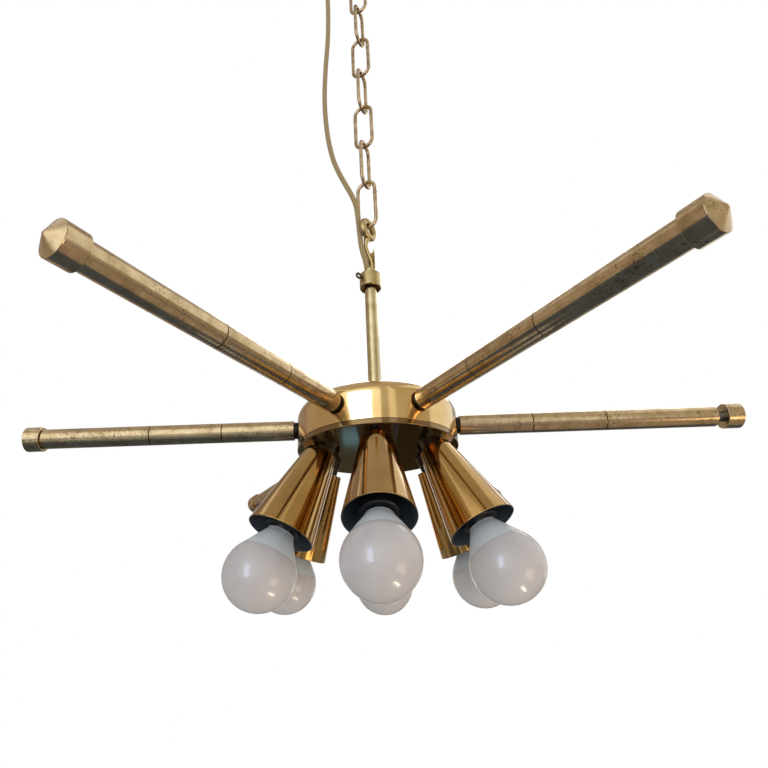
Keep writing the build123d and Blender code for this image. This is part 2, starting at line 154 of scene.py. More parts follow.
def add(tree, kind, links=None, stops=None, **settings):
    """One node. links maps an input to a value or to another node's output; stops fill a colour ramp."""
    node = tree.nodes.new(kind)
    for name, value in settings.items():
        setattr(node, name, value)
    if stops:
        ramp = node.color_ramp
        while len(ramp.elements) < len(stops):
            ramp.elements.new(0.5)
        for element, (position, code) in zip(ramp.elements, stops):
            element.position, element.color = position, colour(code)
    for name, value in (links or {}).items():
        if isinstance(value, bpy.types.NodeSocket):
            tree.links.new(value, node.inputs[name])
        else:
            node.inputs[name].default_value = value
    return node


def finish(name, **shader):
    """A material with its shader's plain settings, its tree and its coordinates."""
    material = bpy.data.materials.new(name)
    material.use_nodes = True
    tree = material.node_tree
    surface = next(n for n in tree.nodes if n.type == "BSDF_PRINCIPLED")
    for socket, value in shader.items():
        surface.inputs[socket.replace("_", " ")].default_value = value
    place = add(tree, "ShaderNodeTexCoord")
    return material, tree, surface, place


print("#808080 is", round(colour("#808080")[0], 3), "in linear light")

# %% [markdown]
# ### Aged brass of the sleeves and caps
# The sleeves are drawn brass tube whose lacquer has gone. To the eye that is a tan gold, clouded over about
# 8 mm, with brown specks of tarnish where damp has sat. The specks are about 1.3 mm apart, as fine as the
# picture can show. Blotches of about 22 mm say where the specks may come. The clouds also change the gloss a
# little, and the specks leave the surface slightly pitted.

# %% Aged brass
cloud_scale, speck_scale, blotch_scale = 130.0, 760.0, 45.0


def brass_aged():
    material, tree, surface, place = finish("aged_brass_tube", Metallic=1.0)
    spot = place.outputs["Object"]
    clouds = add(tree, "ShaderNodeTexNoise",
                 {"Vector": spot, "Scale": cloud_scale, "Detail": 5.0, "Roughness": 0.6})
    body = add(tree, "ShaderNodeValToRGB", {"Fac": clouds.outputs["Fac"]},
               stops=[(0.30, "#AE976E"), (0.50, "#CBB288"), (0.72, "#DAC49C")])
    specks = add(tree, "ShaderNodeTexNoise",
                 {"Vector": spot, "Scale": speck_scale, "Detail": 3.0, "Roughness": 0.7})
    speck = add(tree, "ShaderNodeValToRGB", {"Fac": specks.outputs["Fac"]},
                stops=[(0.37, "#FFFFFF"), (0.43, "#000000")])
    blotch = add(tree, "ShaderNodeTexNoise", {"Vector": spot, "Scale": blotch_scale, "Detail": 2.0})
    where = add(tree, "ShaderNodeValToRGB", {"Fac": blotch.outputs["Fac"]},
                stops=[(0.42, "#101010"), (0.60, "#FFFFFF")])
    amount = add(tree, "ShaderNodeMath", {0: speck.outputs["Color"], 1: where.outputs["Color"]},
                 operation="MULTIPLY")
    mix = add(tree, "ShaderNodeMix", {0: amount.outputs[0], 6: body.outputs["Color"], 7: colour("#5A3B22")},
              data_type="RGBA")
    tree.links.new(mix.outputs[2], surface.inputs["Base Color"])
    rough = add(tree, "ShaderNodeMapRange", {"Value": clouds.outputs["Fac"], "From Min": 0.3, "From Max": 0.7,
                                             "To Min": 0.26, "To Max": 0.15})
    tree.links.new(rough.outputs[0], surface.inputs["Roughness"])
    bump = add(tree, "ShaderNodeBump", {"Height": specks.outputs["Fac"], "Strength": 0.12, "Distance": 0.0002})
    tree.links.new(bump.outputs["Normal"], surface.inputs["Normal"])
    return material


aged = brass_aged()
print("made", aged.name)

# %% [markdown]
# ### Polished brass of the drum, the lid and the cones
# Spun brass, buffed and lacquered: a warm gold that mirrors the room in tall streaks. The cones are a deeper
# brown gold. The lid's much darker brown is painted shade and reflection: it stands for the dark floor and
# cones that the lid mirrors. Buffing leaves hair lines round the axis, finer than the picture can show, so
# they are drawn 0.3 mm apart and a sixth of a turn long. They follow the surface, so they read the map that
# the lathe gives each piece. A haze of about 17 mm varies the colour.

# %% Polished brass
hair_lines = (6.0, 3300.0, 1.0)     # per turn, and per metre of outline
haze_scale = 60.0


def brass_polished(name, rough, deep, pale):
    material, tree, surface, place = finish(name, Metallic=1.0, Coat_Weight=1.0, Coat_Roughness=0.06)
    stretch = add(tree, "ShaderNodeMapping", {"Vector": place.outputs["UV"], "Scale": hair_lines})
    lines = add(tree, "ShaderNodeTexNoise", {"Vector": stretch.outputs[0], "Scale": 1.0, "Detail": 2.0})
    haze = add(tree, "ShaderNodeTexNoise",
               {"Vector": place.outputs["Object"], "Scale": haze_scale, "Detail": 4.0, "Roughness": 0.55})
    tint = add(tree, "ShaderNodeValToRGB", {"Fac": haze.outputs["Fac"]}, stops=[(0.35, deep), (0.62, pale)])
    tree.links.new(tint.outputs["Color"], surface.inputs["Base Color"])
    both = add(tree, "ShaderNodeMath", {0: lines.outputs["Fac"], 1: haze.outputs["Fac"]}, operation="MULTIPLY")
    dull = add(tree, "ShaderNodeMapRange", {"Value": both.outputs[0], "From Min": 0.15, "From Max": 0.4,
                                            "To Min": rough, "To Max": rough + 0.07})
    tree.links.new(dull.outputs[0], surface.inputs["Roughness"])
    bump = add(tree, "ShaderNodeBump", {"Height": lines.outputs["Fac"], "Strength": 0.05, "Distance": 0.0001})
    tree.links.new(bump.outputs["Normal"], surface.inputs["Normal"])
    return material


polished = brass_polished("polished_brass", 0.09, "#D8B068", "#E2BE7A")
cone_brass = brass_polished("polished_brass_of_the_cones", 0.10, "#B0863E", "#BF9549")
# The lid's dark brown base is painted shade and reflection of the dark things under it.
lid_brass_with_painted_shade = brass_polished("brushed_lid_brass_with_painted_shade", 0.06, "#7E5F2C", "#8C6C36")
print("made", polished.name, cone_brass.name, lid_brass_with_painted_shade.name)

# %% [markdown]
# ### Plainer metals
# The stem, eye and collar are drawn or cast brass that was never buffed: a pale gold with a soft gloss. The
# chain is brass-plated wire with a coppery cast where the plate is thin. A nearly brown brass covers the
# collar's screw. The same dark brown is painted shade on the broken edges of the sleeves, where two meet,
# and on the washers over the cones, which sit in the dark gap under the lid. The rods are bare steel, the
# bushes blackened steel, the nuts zinc plated, and the lamps' screw caps nickel plated. All have a clouded
# colour and a fine grain of about 0.6 mm.

# %% Satin metals
grain_scale = 1600.0


def clouded(name, deep, pale, clouds_as, skin_scale, gloss, pits, pit_m, **shader):
    """Clouds of two colours under a fine skin. clouds_as: scale, detail. gloss: least, most roughness."""
    material, tree, surface, place = finish(name, **shader)
    spot = place.outputs["Object"]
    clouds = add(tree, "ShaderNodeTexNoise", {"Vector": spot, "Scale": clouds_as[0], "Detail": clouds_as[1]})
    tint = add(tree, "ShaderNodeValToRGB", {"Fac": clouds.outputs["Fac"]}, stops=[(0.35, deep), (0.65, pale)])
    tree.links.new(tint.outputs["Color"], surface.inputs["Base Color"])
    skin = add(tree, "ShaderNodeTexNoise", {"Vector": spot, "Scale": skin_scale, "Detail": 2.0})
    dull = add(tree, "ShaderNodeMapRange", {"Value": skin.outputs["Fac"], "From Min": 0.3, "From Max": 0.7,
                                            "To Min": gloss[0], "To Max": gloss[1]})
    tree.links.new(dull.outputs[0], surface.inputs["Roughness"])
    bump = add(tree, "ShaderNodeBump", {"Height": skin.outputs["Fac"], "Strength": pits, "Distance": pit_m})
    tree.links.new(bump.outputs["Normal"], surface.inputs["Normal"])
    return material


def satin_metal(name, deep, pale, cloud_mm, rough, grain=0.1):
    return clouded(name, deep, pale, (1000 / cloud_mm, 4.0), grain_scale, (rough - 0.05, rough + 0.08), grain,
                   0.0002, Metallic=1.0)


stem_brass = satin_metal("stem_brass", "#C2AF80", "#DCCB9E", 9, 0.20)
cast_brass = satin_metal("cast_brass", "#B39D6C", "#D0B985", 4, 0.28, 0.2)
# Dark brown brass: the collar screw's colour, and painted shade on the sleeve seams and the cone washers.
dark_brass_and_painted_shade = satin_metal("dark_brass_and_painted_shade", "#453B2C", "#6B5E45", 4, 0.42, 0.2)
chain_brass = satin_metal("coppery_chain_wire", "#AE9674", "#D6BF9C", 7, 0.22)
black_steel = satin_metal("blackened_steel", "#2A2622", "#433B33", 5, 0.45)
rod_steel = satin_metal("bare_steel_rod", "#77786F", "#94958C", 5, 0.38)
zinc = satin_metal("zinc_plate", "#A9ABAA", "#C9CBC8", 5, 0.30)
nickel = satin_metal("nickel_plate", "#B9B7B0", "#D4D2CA", 6, 0.22)
print("finishes so far", len(bpy.data.materials))

# %% [markdown]
# ### Opal, plastics and paint
# The ball is opal polycarbonate: light goes in and wanders, so its shading is soft, with one sharp gloss on
# top. The lamp's housing is a cooler white moulding. The holder is matt black thermoset. The cones are
# painted slate grey inside, dull and faintly pebbled. Their colour hardly varies, over about 29 mm, and
# their skin has a grain of about 1.1 mm.

# %% Opal, plastics and paint
faint_clouds, skin_scale = (35.0, 2.0), 900.0
wander_m = 0.004     # how far light travels inside


def plastic(name, deep, pale, rough, soft=0.0, grain=0.03):
    return clouded(name, deep, pale, faint_clouds, skin_scale, (rough, rough + 0.06), grain, 0.0001,
                   Subsurface_Weight=soft, Subsurface_Scale=wander_m, Subsurface_Radius=(1.0, 1.0, 1.0))


shade_lining = plastic("slate_paint_inside_the_cones", "#3C444C", "#505A64", 0.42, grain=0.1)
opal = plastic("opal_polycarbonate", "#D4CFCD", "#DBD6D3", 0.15, soft=0.35)
housing_white = plastic("white_lamp_housing", "#DCE3E5", "#E4EAEA", 0.35, soft=0.1)
holder_black = plastic("black_thermoset", "#0D0F12", "#16191D", 0.45, grain=0.1)
print("made", shade_lining.name, opal.name, housing_white.name, holder_black.name)

# %% [markdown]
# ### The cord's braid
# The cord has a woven textile skin of two sets of threads that wind round it opposite ways, dull gold with
# a soft sheen. Two slanted waves stand for the two sets, and their product gives the checks where threads
# cross: about 0.9 mm round the cord and 0.6 mm along it. The waves lie on the cord's own map, so the braid
# bends with the cord.

# %% Braid
braid_waves = (8.0, 900.0, 1.0)     # per turn, and per metre of cord


def braid():
    material, tree, surface, place = finish("cord_braid", Roughness=0.75, Sheen_Weight=0.25)
    spread = add(tree, "ShaderNodeMapping", {"Vector": place.outputs["UV"], "Scale": braid_waves})
    split = add(tree, "ShaderNodeSeparateXYZ", {"Vector": spread.outputs[0]})
    threads = []
    for slant in (1.0, -1.0):
        total = add(tree, "ShaderNodeMath", {0: split.outputs["Y"], 1: slant, 2: split.outputs["X"]},
                    operation="MULTIPLY_ADD")
        turn = add(tree, "ShaderNodeMath", {0: total.outputs[0], 1: 2 * math.pi}, operation="MULTIPLY")
        threads.append(add(tree, "ShaderNodeMath", {0: turn.outputs[0]}, operation="SINE").outputs[0])
    cross = add(tree, "ShaderNodeMath", {0: threads[0], 1: threads[1]}, operation="MULTIPLY")
    height = add(tree, "ShaderNodeMapRange", {"Value": cross.outputs[0], "From Min": -1.0, "From Max": 1.0})
    tint = add(tree, "ShaderNodeValToRGB", {"Fac": height.outputs[0]},
               stops=[(0.1, "#8C7646"), (0.8, "#C9B07C")])
    tree.links.new(tint.outputs["Color"], surface.inputs["Base Color"])
    bump = add(tree, "ShaderNodeBump", {"Height": height.outputs[0], "Strength": 0.5, "Distance": 0.0002})
    tree.links.new(bump.outputs["Normal"], surface.inputs["Normal"])
    return material


cord_textile = braid()
print("finishes", len(bpy.data.materials))

# %% [markdown]
# ## A lathe
# A turned piece is an outline swung round its axis. The outline is a list of (along, radius) pairs in
# millimetres, as on a turner's drawing, walked with the metal on the right-hand side. `arc` rounds a corner
# of it, and `piece_from` makes the mesh: sharp corners stay crisp and shallow ones are smoothed.

# %% Outlines and meshes
def arc(x, r, radius, start, end, steps=8):
    """Points on a rounded corner of an outline, between two angles in degrees."""
    angles = [math.radians(start + (end - start) * i / steps) for i in range(steps + 1)]
    return [(x + radius * math.cos(a), max(0.0, r + radius * math.sin(a))) for a in angles]


def piece_from(name, verts, faces, material, maps=None, sharp=35):
    """A mesh object at the origin, smoothed except at its sharp edges."""
    mesh = bpy.data.meshes.new(name)
    mesh.from_pydata(verts, [], faces)
    if maps:
        layer = mesh.uv_layers.new(name="UVMap")
        for polygon, corners in zip(mesh.polygons, maps):
            for loop, uv in zip(polygon.loop_indices, corners):
                layer.data[loop].uv = uv
    mesh.materials.append(material)
    mesh.shade_smooth()
    mesh.set_sharp_from_angle(angle=math.radians(sharp))
    piece = bpy.data.objects.new(name, mesh)
    bpy.context.scene.collection.objects.link(piece)
    return piece


print("a quarter circle takes", len(arc(0, 0, 1, 90, 0)), "points")

# %% [markdown]
# Smooth shading blends the light between corners, which makes a long flat stretch look swollen. Two extra
# rings close to its ends hold the blend at the corners. `lathe` then swings the outline into clean rings of
# faces that point outwards. Its map counts turns one way and metres of outline the other. A second finish,
# such as a cone's lining, covers some of the outline's stretches, counted before the extra rings.

# %% Lathe
ring_gap, longest_share = 0.25, 0.2     # mm from a corner; a stretch under five times that gets none
on_axis = 1e-6                          # a radius that is as good as nothing closes in one point


def with_holding_rings(outline, closed):
    """The outline with two rings near the ends of each long stretch, each point with its stretch."""
    held = []
    ends = outline[1:] + (outline[:1] if closed else [])
    for n, (a, b) in enumerate(zip(outline, ends)):
        held.append((*a, n))
        share = ring_gap / max(math.dist(a, b), 1e-9)
        if share < longest_share:
            held += [(a[0] + (b[0] - a[0]) * t, a[1] + (b[1] - a[1]) * t, n) for t in (share, 1 - share)]
    return held if closed else held + [(*outline[-1], len(outline))]


def lathe(name, outline, place, material, sides=96, closed=False, lining=None):
    """A turned piece. lining gives the stretches of the outline, from first to before last, that are lined."""
    outline = with_holding_rings(outline, closed)
    rings, verts, faces, maps, lined = [], [], [], [], []
    for x, r, stretch in outline:
        turns = [0] if r < on_axis else [2 * math.pi * s / sides for s in range(sides)]
        rings.append([len(verts) + s % len(turns) for s in range(sides)])
        verts += [place @ (Vector((x, r * math.cos(a), r * math.sin(a))) / 1000) for a in turns]
    ends = list(range(1, len(outline))) + ([0] if closed else [])
    gone = 0.0
    for i, j in zip(range(len(outline)), ends):
        step = math.dist(outline[i][:2], outline[j][:2]) / 1000
        for s in range(sides):
            t = (s + 1) % sides
            corners = [(rings[i][s], s, gone), (rings[i][t], s + 1, gone),
                       (rings[j][t], s + 1, gone + step), (rings[j][s], s, gone + step)]
            kept = [c for n, c in enumerate(corners) if c[0] not in [b[0] for b in corners[:n]]]
            if len(kept) > 2:
                faces.append([c[0] for c in kept])
                maps.append([(c[1] / sides, c[2]) for c in kept])
                lined.append(bool(lining) and lining[0] <= outline[i][2] < lining[1])
        gone += step
    piece = piece_from(name, verts, faces, material, maps)
    if lining:
        piece.data.attributes.new("lining", "BOOLEAN", "FACE").data.foreach_set("value", lined)
    return piece


print("160 sides keep the drum's edge within", round(60 * (1 - math.cos(math.pi / 160)), 3), "mm of a circle")

# %% [markdown]
# ## Copies round the drum
# Rods, sleeves, cones and holders come in sixes. A Geometry Nodes tree sets copies of one piece on points
# that all lie on the light's axis, turns each a step further, and makes them real. Faces that are marked as
# lining get their own finish. The result is turned into plain mesh.

# %% Geometry Nodes: copies round an axis
def socket(tree, name, kind, way="INPUT"):
    """A named input or output of a tree. A modifier's input is set by the identifier that this gives."""
    return tree.interface.new_socket(name, in_out=way, socket_type="NodeSocket" + kind).identifier


def copies_tree():
    tree = bpy.data.node_groups.new("copies_round_the_axis", "GeometryNodeTree")
    keys = {name: socket(tree, name, kind) for name, kind in
            (("Geometry", "Geometry"), ("Count", "Int"), ("Step", "Float"), ("Finish", "Material"),
             ("Lining", "Material"))}
    socket(tree, "Geometry", "Geometry", "OUTPUT")
    given = add(tree, "NodeGroupInput").outputs
    points = add(tree, "GeometryNodeMeshLine", {"Count": given["Count"], "Offset": (0, 0, 0)})
    index = add(tree, "GeometryNodeInputIndex")
    turn = add(tree, "ShaderNodeMath", {0: index.outputs[0], 1: given["Step"]}, operation="MULTIPLY")
    spin = add(tree, "ShaderNodeCombineXYZ", {"Z": turn.outputs[0]})
    copies = add(tree, "GeometryNodeInstanceOnPoints", {"Points": points.outputs[0],
                                                        "Instance": given["Geometry"],
                                                        "Rotation": spin.outputs[0]})
    real = add(tree, "GeometryNodeRealizeInstances", {"Geometry": copies.outputs[0]})
    face = add(tree, "GeometryNodeSetMaterial", {"Geometry": real.outputs[0], "Material": given["Finish"]})
    inside = add(tree, "GeometryNodeInputNamedAttribute", {"Name": "lining"}, data_type="BOOLEAN")
    lined = add(tree, "GeometryNodeSetMaterial", {"Geometry": face.outputs[0], "Selection": inside.outputs[0],
                                                  "Material": given["Lining"]})
    add(tree, "NodeGroupOutput", {"Geometry": lined.outputs[0]})
    return tree, keys


round_tree, round_keys = copies_tree()
print("inputs of the tree", list(round_keys))

# %% [markdown]
# `stands_for` hangs a finished piece on its body of the model and hides the solids that it takes the place
# of.

# %% Pieces put to use
def bake(piece):
    """Turn what a piece's modifier makes into plain mesh."""
    evaluated = piece.evaluated_get(bpy.context.evaluated_depsgraph_get())
    mesh = bpy.data.meshes.new_from_object(evaluated)
    piece.modifiers.clear()
    piece.data = mesh
    return piece


def copied_round(piece, outside, lining=None):
    """Six copies of a piece round the light's axis, as one mesh."""
    modifier = piece.modifiers.new("copies", "NODES")
    modifier.node_group = round_tree
    modifier[round_keys["Count"]] = arm_count
    modifier[round_keys["Step"]] = 2 * math.pi / arm_count
    modifier[round_keys["Finish"]] = outside
    modifier[round_keys["Lining"]] = lining or outside
    return bake(piece)


def stands_for(piece, body, slot, *replaced):
    """Hang a finished piece on its body, in place of CAD nodes."""
    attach(piece, body)
    if replaced:
        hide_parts(*replaced)
    print(piece.name, "has", len(piece.data.polygons), "faces and rides on", body)


# %% [markdown]
# ## Smooth copies
# Cast and bent pieces, such as the eye and the cut stem, already have their true shape in the solids. A
# merged copy of the node, with its shallow edges smoothed, shows them without facets.

# %% Copies of CAD nodes
metre_digits = 6     # a thousandth of a millimetre


def smooth_copy(node, material, body, slot, sharp=40):
    source = nodes[node].data
    found, verts, faces = {}, [], []
    for polygon in source.polygons:
        face = []
        for v in polygon.vertices:
            co = source.vertices[v].co
            key = tuple(round(c, metre_digits) for c in co)
            if key not in found:
                found[key] = len(verts)
                verts.append(co.copy())
            if found[key] not in face:
                face.append(found[key])
        if len(face) > 2:
            faces.append(face)
    stands_for(piece_from(node + "_skin", verts, faces, material, None, sharp), body, slot, node)


# %% [markdown]
# ## The cord
# A textile cord hangs slack beside the chain: out of the grip in the canopy, down, and over into the open
# side of the stem. Listed points pull one smooth spline into that line, and `smooth_line` reads points
# back from the spline.

# %% The cord's line
cord_mm = 4.6
stem_mouth, inlet = 130.0, -12.0     # where the cord meets the cut stem and the grip
route = [(-1.8, 0.0, arm_plane + stem_mouth), (-1.8, 0.0, arm_plane + 147.0)]
route += [(x, y, z + arm_plane) for x, y, z in (
    (-6.4, -2.0, 164.0), (-7.3, -0.4, 180.0), (-8.4, -1.8, 197.7), (-9.3, -2.6, 208.4), (-12.6, -3.2, 219.7),
    (-17.9, -4.0, 231.1), (-23.2, -4.0, 243.5), (-28.3, -3.5, 258.8), (-31.7, -3.0, 275.0),
    (-34.8, -2.0, 299.0), (-37.0, 1.0, 340.0), (-35.5, 2.5, 386.0), (-32.0, 0.5, 430.0),
    (-31.5, -1.5, 474.0), (-33.0, -0.5, 517.0))]
route += [(-30.0, 0.0, -59.5), (-30.0, 0.0, inlet)]


def smooth_line(points, smoothness=12):
    """Points read from the NURBS spline that has the given control points, in metres."""
    curve = bpy.data.curves.new("cord_line", "CURVE")
    curve.dimensions = "3D"
    curve.resolution_u = smoothness
    spline = curve.splines.new("NURBS")
    spline.points.add(len(points) - 1)
    for point, (x, y, z) in zip(spline.points, points):
        point.co = (x / 1000, y / 1000, z / 1000, 1)
    spline.order_u = 3
    spline.use_endpoint_u = True
    holder = bpy.data.objects.new("cord_line", curve)
    bpy.context.scene.collection.objects.link(holder)
    bpy.context.view_layer.update()
    mesh = bpy.data.meshes.new_from_object(holder.evaluated_get(bpy.context.evaluated_depsgraph_get()))
    line = [v.co.copy() for v in mesh.vertices]
    bpy.data.objects.remove(holder)
    return line


cord_line = smooth_line(route)
print("the cord's line has", len(cord_line), "points")

# %% [markdown]
# A round tube follows the line. Its section is carried from point to point without twisting, so the braid
# stays straight. The cord spans the joint where the light sways.

# %% Cord
def tube_along(name, line, radius_mm, material, sides=20):
    """A round tube with a map: turns round it, metres along it."""
    verts, faces, maps, gone = [], [], [], 0.0
    side = Vector((0, 1, 0))
    for i, here in enumerate(line):
        way = (line[min(i + 1, len(line) - 1)] - line[max(i - 1, 0)]).normalized()
        side = (side - way * side.dot(way)).normalized()
        other = way.cross(side)
        for s in range(sides):
            a = 2 * math.pi * s / sides
            verts.append(here + (side * math.cos(a) + other * math.sin(a)) * radius_mm / 1000)
        if i:
            step = (here - line[i - 1]).length
            for s in range(sides):
                t = (s + 1) % sides
                b, c = (i - 1) * sides, i * sides
                faces.append([b + s, b + t, c + t, c + s])
                maps.append([(s / sides, gone), ((s + 1) / sides, gone),
                             ((s + 1) / sides, gone + step), (s / sides, gone + step)])
            gone += step
    faces += [list(range(sides))[::-1], [len(verts) - sides + s for s in range(sides)]]
    maps += [[(0, 0)] * sides] * 2
    return piece_from(name, verts, faces, material, maps), gone


cord, cord_length = tube_along("mains_cord", cord_line, cord_mm / 2, cord_textile)
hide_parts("cord")
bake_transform(cord)
print("cord", round(cord_length * 1000), "mm")

# %% [markdown]
# ## The chain
# Eight oval links of round wire, each turned a quarter against the last, each with the bead of its weld on
# one side. The tree draws one link as a rounded rectangle with a round section and sets the copies a pitch
# apart, so a longer drop is one number. The link's ends are half circles: a corner's radius is a hair under
# half the width, because at exactly half the ends of two corners would fall on one point.

# %% Geometry Nodes: a chain of links
nearly_half, bead_fatness = 0.4999, 1.18


def chain_tree():
    tree = bpy.data.node_groups.new("chain_of_links", "GeometryNodeTree")
    names = (("Links", "Int"), ("Lowest", "Float"), ("Pitch", "Float"), ("Turn", "Float"), ("Length", "Float"),
             ("Width", "Float"), ("Wire", "Float"), ("Weld", "Float"), ("Finish", "Material"))
    keys = {name: socket(tree, name, kind) for name, kind in names}
    socket(tree, "Geometry", "Geometry", "OUTPUT")
    given = add(tree, "NodeGroupInput").outputs
    outline = add(tree, "GeometryNodeCurvePrimitiveQuadrilateral",
                  {"Width": given["Width"], "Height": given["Length"]})
    bend = add(tree, "ShaderNodeMath", {0: given["Width"], 1: nearly_half}, operation="MULTIPLY")
    oval = add(tree, "GeometryNodeFilletCurve",
               {"Curve": outline.outputs[0], "Count": 10, "Radius": bend.outputs[0]}, mode="POLY")
    section = add(tree, "GeometryNodeCurvePrimitiveCircle", {"Resolution": 20, "Radius": given["Wire"]})
    wire = add(tree, "GeometryNodeCurveToMesh", {"Curve": oval.outputs[0], "Profile Curve": section.outputs[0]})
    bead = add(tree, "GeometryNodeMeshUVSphere", {"Segments": 20, "Rings": 10})
    fat = add(tree, "ShaderNodeMath", {0: given["Wire"], 1: bead_fatness}, operation="MULTIPLY")
    half = add(tree, "ShaderNodeMath", {0: given["Width"], 1: 0.5}, operation="MULTIPLY")
    spot = add(tree, "ShaderNodeCombineXYZ", {"X": half.outputs[0], "Y": given["Weld"]})
    size = add(tree, "ShaderNodeCombineXYZ", {"X": fat.outputs[0], "Y": given["Wire"], "Z": fat.outputs[0]})
    weld = add(tree, "GeometryNodeTransform", {"Geometry": bead.outputs[0], "Translation": spot.outputs[0],
                                               "Scale": size.outputs[0]})
    link = add(tree, "GeometryNodeJoinGeometry")
    tree.links.new(wire.outputs[0], link.inputs[0])
    tree.links.new(weld.outputs[0], link.inputs[0])
    stood = add(tree, "GeometryNodeTransform", {"Geometry": link.outputs[0], "Rotation": (math.pi / 2, 0, 0)})
    start = add(tree, "ShaderNodeCombineXYZ", {"Z": given["Lowest"]})
    rise = add(tree, "ShaderNodeCombineXYZ", {"Z": given["Pitch"]})
    points = add(tree, "GeometryNodeMeshLine", {"Count": given["Links"], "Start Location": start.outputs[0],
                                                "Offset": rise.outputs[0]})
    index = add(tree, "GeometryNodeInputIndex")
    quarter = add(tree, "ShaderNodeMath", {0: index.outputs[0], 1: math.pi / 2, 2: given["Turn"]},
                  operation="MULTIPLY_ADD")
    spin = add(tree, "ShaderNodeCombineXYZ", {"Z": quarter.outputs[0]})
    copies = add(tree, "GeometryNodeInstanceOnPoints", {"Points": points.outputs[0],
                                                        "Instance": stood.outputs[0],
                                                        "Rotation": spin.outputs[0]})
    real = add(tree, "GeometryNodeRealizeInstances", {"Geometry": copies.outputs[0]})
    smooth = add(tree, "GeometryNodeSetShadeSmooth", {"Geometry": real.outputs[0]})
    painted = add(tree, "GeometryNodeSetMaterial", {"Geometry": smooth.outputs[0], "Material": given["Finish"]})
    add(tree, "NodeGroupOutput", {"Geometry": painted.outputs[0]})
    return tree, keys


chain_nodes, chain_keys = chain_tree()
print("inputs of the tree", list(chain_keys))

# %% [markdown]
# The sizes are those of the solids: a link's outer length and width, the wire's radius, and the height of
# the topmost wire, where the first link hangs in the ceiling loop. The tree wants the wire's middle line.

# %% Chain
link_length, link_width, link_wire, links = 53.0, 20.0, 1.7, 8
top_wire, pitch = -50.88, 46.08
weld_height, chain_turn = 11.0, -25.0
oval_length, oval_width = link_length - 2 * link_wire, link_width - 2 * link_wire
lowest = top_wire - (links - 1) * pitch - oval_length / 2
chain = bpy.data.objects.new("chain", bpy.data.meshes.new("chain"))
bpy.context.scene.collection.objects.link(chain)
modifier = chain.modifiers.new("links", "NODES")
modifier.node_group = chain_nodes
for name, value in (("Links", links), ("Lowest", lowest / 1000), ("Pitch", pitch / 1000),
                    ("Turn", math.radians(chain_turn)), ("Length", oval_length / 1000),
                    ("Width", oval_width / 1000), ("Wire", link_wire / 1000),
                    ("Weld", weld_height / 1000), ("Finish", chain_brass)):
    modifier[chain_keys[name]] = value
stands_for(bake(chain), "pendant", "chain_metal", "chain_links_odd", "chain_links_even")
print("chain", [[round(v, 4) for v in chain.bound_box[i]] for i in (0, 6)])

# %% [markdown]
# ## The ceiling set
# The canopy is one spun cup with an even wall, so its outline goes up the outside and back down the inside.
# The loop, the grip, the bracket and its nuts are smooth copies of their solids.

# %% Ceiling set
outer = [(-27.0, 5.1)] + arc(-11.0, 38.0, 16.0, 180, 90, 14) + [(-0.2, 54.0), (0, 53.8)]
inner = [(0, 53.2), (-0.2, 53.0)] + arc(-11.0, 38.0, 15.0, 90, 180, 14) + [(-26.0, 5.1)]
canopy = lathe("canopy", outer + inner, upright, polished, sides=128, closed=True)
stands_for(canopy, "root", "brass_polished", "ceiling_canopy")
for node, material, slot in (
        ("ceiling_loop", cast_brass, "brass_tube"), ("cord_grip", holder_black, "black_plastic"),
        ("ceiling_bracket", zinc, "zinc"), ("bracket_nuts", zinc, "zinc"),
        ("bracket_nipple", zinc, "brass_tube")):
    smooth_copy(node, material, "root", slot)

# %% [markdown]
# ## Eye, stem and collar
# The eye is cast and bent; the stem's end is cut open to let the cord in; the collar clamps round it with a
# small ring-headed screw. Sharper edges are smoothed on the eye and the screw, whose bends are tight.

# %% Eye, stem and collar
tight_bends = 60
smooth_copy("hanger_loop", cast_brass, "pendant", "brass_tube", tight_bends)
smooth_copy("stem_tube", stem_brass, "pendant", "brass_tube")
smooth_copy("hanger_collar", cast_brass, "pendant", "brass_tube")
smooth_copy("collar_screw", dark_brass_and_painted_shade, "collar_screw", "brass_tube", tight_bends)
smooth_copy("stem_locknuts", zinc, "pendant", "zinc")

# %% [markdown]
# ## The drum
# A spun cup with a big soft shoulder, and a flat lid whose skirt slips up over the cup's edge: the faint
# line round the drum. The lid works as a mirror, and its rounded edge is a thin bright ring. A domed cap nut
# closes the lid's middle.

# %% Drum
at_hub = moved(z=arm_plane) @ upright
cup_outline = ([(-17.4, 58.2), (-17.4, 59.1), (-15.1, 59.1), (-15.1, 59.8), (-14.9, 60.0), (4.9, 60.0)]
               + arc(4.9, 49.4, 10.6, 90, 0, 16)[1:] + [(15.5, 5.1), (13.7, 5.1)]
               + arc(4.9, 49.4, 8.8, 0, 90, 12))
cup = lathe("drum_cup", cup_outline, at_hub, polished, sides=160, closed=True)
stands_for(cup, "pendant", "brass_polished", "hub_cup")
lid_outline = ([(-19.0, 5.1), (-19.0, 59.3)] + arc(-18.4, 59.4, 0.6, 180, 90, 5)
               + [(-15.4, 60.0), (-15.2, 59.8), (-15.2, 59.2), (-17.5, 59.2), (-17.5, 5.1)])
lid = lathe("drum_lid", lid_outline, at_hub, lid_brass_with_painted_shade, sides=160, closed=True)
stands_for(lid, "pendant", "brass_polished", "hub_lid")
cap_nut_outline = ([(-26.1, 0.0), (-26.1, 5.0)] + arc(-22.6, 5.0, 3.5, 180, 90, 8)
                   + [(-19.1, 8.5), (-19.1, 5.1), (-23.5, 5.1), (-23.5, 0.0)])
cap_nut = lathe("lid_cap_nut", cap_nut_outline, at_hub, polished, sides=48)
stands_for(cap_nut, "pendant", "brass_polished", "plate_cap_nut")
